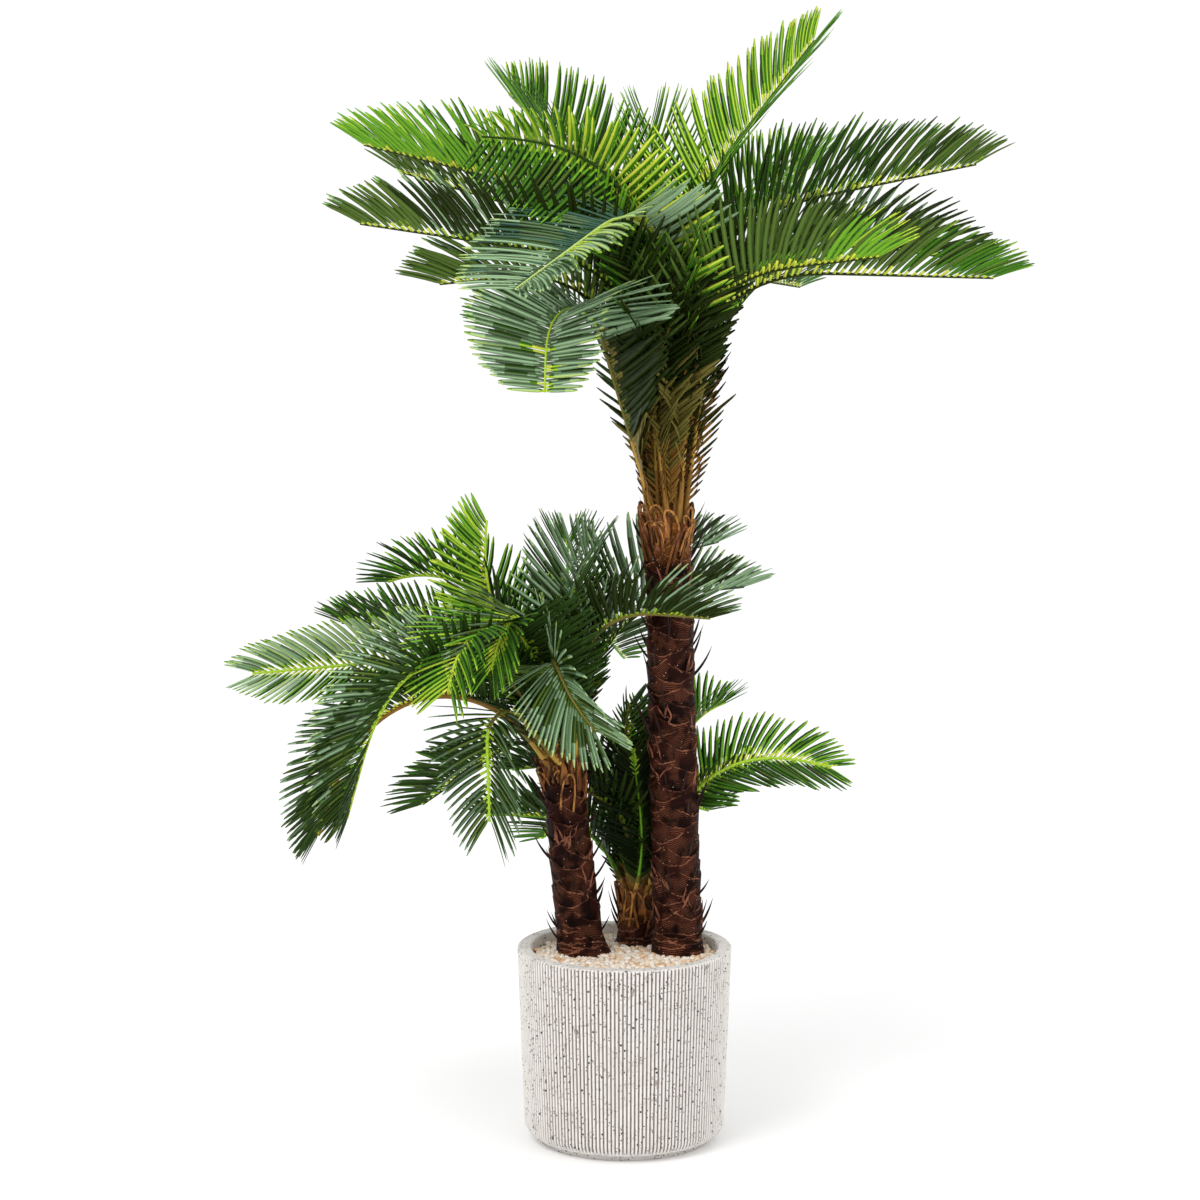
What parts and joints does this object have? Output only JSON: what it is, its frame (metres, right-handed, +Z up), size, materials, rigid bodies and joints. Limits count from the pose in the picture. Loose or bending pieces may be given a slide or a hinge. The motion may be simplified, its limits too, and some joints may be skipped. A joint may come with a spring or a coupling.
{
  "type": "potted sago palm",
  "caption": "Sago palm clump of rough leaning stems, each topped by arching feather fronds, in a wide fluted terrazzo pot.",
  "frame": {"origin": "centre of the pot's flat underside", "axes": "+Z up; the pictured side faces -Y, with +X on its right"},
  "size_m": [1.8499, 1.3668, 2.6417],
  "materials": {
    "pot": "honed light grey terrazzo with dark specks",
    "gravel": "dull cream pebbles over soil",
    "bark": "rough dark brown old leaf bases",
    "foliage": "satin green leaflets"
  },
  "bodies": {
    "root": {"pot": "pot", "gravel_fill": "gravel", "tall_trunk": "bark", "short_trunk": "bark", "small_trunk": "bark", "tall_frond_01": "foliage", "tall_frond_02": "foliage", "tall_frond_03": "foliage", "tall_frond_04": "foliage", "tall_frond_05": "foliage", "tall_frond_06": "foliage", "tall_frond_07": "foliage", "tall_frond_08": "foliage", "tall_frond_09": "foliage", "tall_frond_10": "foliage", "tall_frond_11": "foliage", "tall_frond_12": "foliage", "tall_frond_13": "foliage", "tall_frond_14": "foliage", "tall_frond_15": "foliage", "tall_frond_16": "foliage", "tall_frond_16_end": "foliage", "tall_frond_17": "foliage", "tall_frond_18": "foliage", "tall_frond_19": "foliage", "tall_frond_20": "foliage", "tall_frond_21": "foliage", "short_frond_01": "foliage", "short_frond_02": "foliage", "short_frond_03": "foliage", "short_frond_04": "foliage", "short_frond_05": "foliage", "short_frond_06": "foliage", "short_frond_07": "foliage", "short_frond_07_end": "foliage", "short_frond_08": "foliage", "short_frond_09": "foliage", "short_frond_10": "foliage", "short_frond_11": "foliage", "short_frond_12": "foliage", "short_frond_13": "foliage", "short_frond_13_end": "foliage", "short_frond_14": "foliage", "short_frond_15": "foliage", "short_frond_16": "foliage", "short_frond_17": "foliage", "short_frond_18": "foliage", "short_frond_19": "foliage", "small_frond_01": "foliage", "small_frond_02": "foliage", "small_frond_03": "foliage", "small_frond_04": "foliage", "small_frond_05": "foliage", "small_frond_06": "foliage", "small_frond_07": "foliage", "small_frond_08": "foliage", "small_frond_09": "foliage", "small_frond_10": "foliage", "small_frond_11": "foliage", "small_frond_12": "foliage"}
  },
  "joints": []
}
